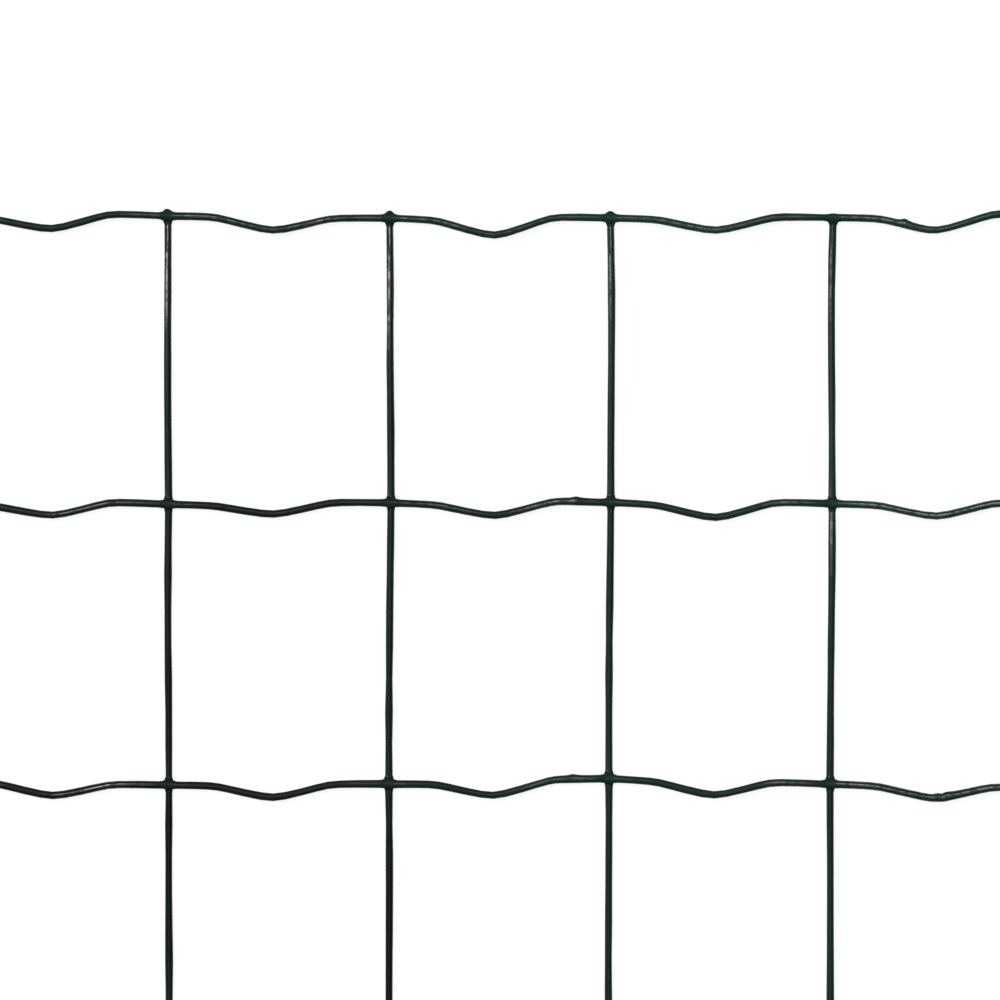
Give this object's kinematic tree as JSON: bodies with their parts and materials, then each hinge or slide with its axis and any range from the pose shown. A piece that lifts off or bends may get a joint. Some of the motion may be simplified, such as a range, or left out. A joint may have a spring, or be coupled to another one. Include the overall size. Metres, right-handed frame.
{
  "type": "flat sheet of plastic-coated welded wire mesh fencing",
  "caption": "Flat length of green plastic-coated welded wire mesh fencing, with straight upright wires and crimped line wires welded across them.",
  "frame": {"origin": "on the floor under the middle of the sheet's outline", "axes": "+X along the sheet's length, +Y towards its top edge, +Z out of its face, where the crimped line wires lie"},
  "size_m": [2, 0.8082, 0.0041],
  "materials": {
    "green_coating": "satin"
  },
  "bodies": {
    "root": {"mesh_sheet": "green_coating"}
  },
  "joints": []
}
